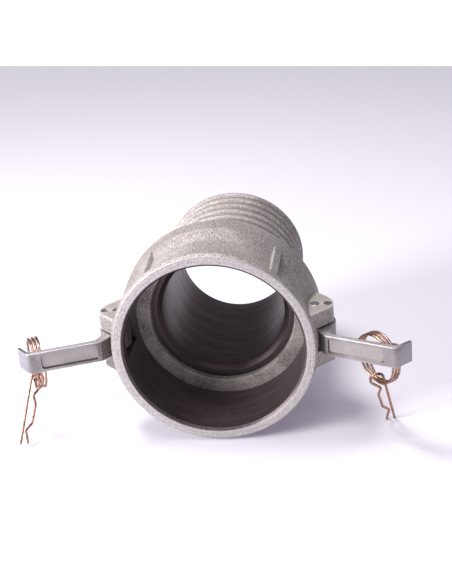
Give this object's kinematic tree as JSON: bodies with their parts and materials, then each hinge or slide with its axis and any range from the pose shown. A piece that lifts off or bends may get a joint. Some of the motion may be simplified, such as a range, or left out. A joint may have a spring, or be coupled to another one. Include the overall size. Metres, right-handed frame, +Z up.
{
  "type": "camlock coupling",
  "caption": "Cam-and-groove hose coupler: cast socket with seal, two cam levers on pins, pull rings, safety clips and a barbed hose shank.",
  "frame": {"origin": "on the body's axis, in the plane of the two lever pins", "axes": "Y is the body's axis: the mouth faces -Y and the hose shank +Y; the lever pins stand along Z; +Z is up as the coupler lies on its side"},
  "size_m": [0.2716, 0.1799, 0.1396],
  "materials": {
    "cast_body": "sand-cast, blasted matt",
    "seal": "matt warm grey, fine grain",
    "pin_steel": "turned, dull",
    "lever": "cast and tumbled, satin",
    "plated_wire": "yellow zinc plated steel wire, iridescent"
  },
  "bodies": {
    "coupler_body": {"body_casting": "cast_body", "seal_ring": "seal", "pivot_pin_left": "pin_steel", "pivot_pin_right": "pin_steel"},
    "lever_left": {"cam_lever_left": "lever"},
    "ring_left": {"pull_ring_left": "plated_wire"},
    "clip_left": {"safety_clip_left": "plated_wire"},
    "lever_right": {"cam_lever_right": "lever"},
    "ring_right": {"pull_ring_right": "plated_wire"},
    "clip_right": {"safety_clip_right": "plated_wire"}
  },
  "joints": [
    {"name": "lever_swing_left", "type": "hinge", "parent": "coupler_body", "child": "lever_left", "pos_m": [-0.0671, 0, 0], "axis": [0, 0, -1], "range_deg": [-12.5, 105.5]},
    {"name": "ring_swing_left", "type": "hinge", "parent": "lever_left", "child": "ring_left", "pos_m": [-0.11891, -0.02715, 0], "axis": [0, 0, -1], "range_deg": [-11.26, 95]},
    {"name": "clip_swing_left", "type": "hinge", "parent": "ring_left", "child": "clip_left", "pos_m": [-0.12825, -0.01045, -0.02721], "axis": [-0.4266, 0.8373, 0.342], "range_deg": [-40, 40]},
    {"name": "lever_swing_right", "type": "hinge", "parent": "coupler_body", "child": "lever_right", "pos_m": [0.0671, 0, 0], "axis": [0, 0, 1], "range_deg": [-8, 110]},
    {"name": "ring_swing_right", "type": "hinge", "parent": "lever_right", "child": "ring_right", "pos_m": [0.11662, -0.03113, 0], "axis": [0, 0, 1], "range_deg": [-1.71, 23.5]},
    {"name": "clip_swing_right", "type": "hinge", "parent": "ring_right", "child": "clip_right", "pos_m": [0.10654, -0.01804, -0.02793], "axis": [-0.631, 0.752, 0.1908], "range_deg": [-40, 40]}
  ],
  "couplings": [
    {"joint": "ring_swing_left", "follows": "lever_swing_left", "ratio": 0.9005},
    {"joint": "ring_swing_right", "follows": "lever_swing_right", "ratio": 0.2136}
  ]
}
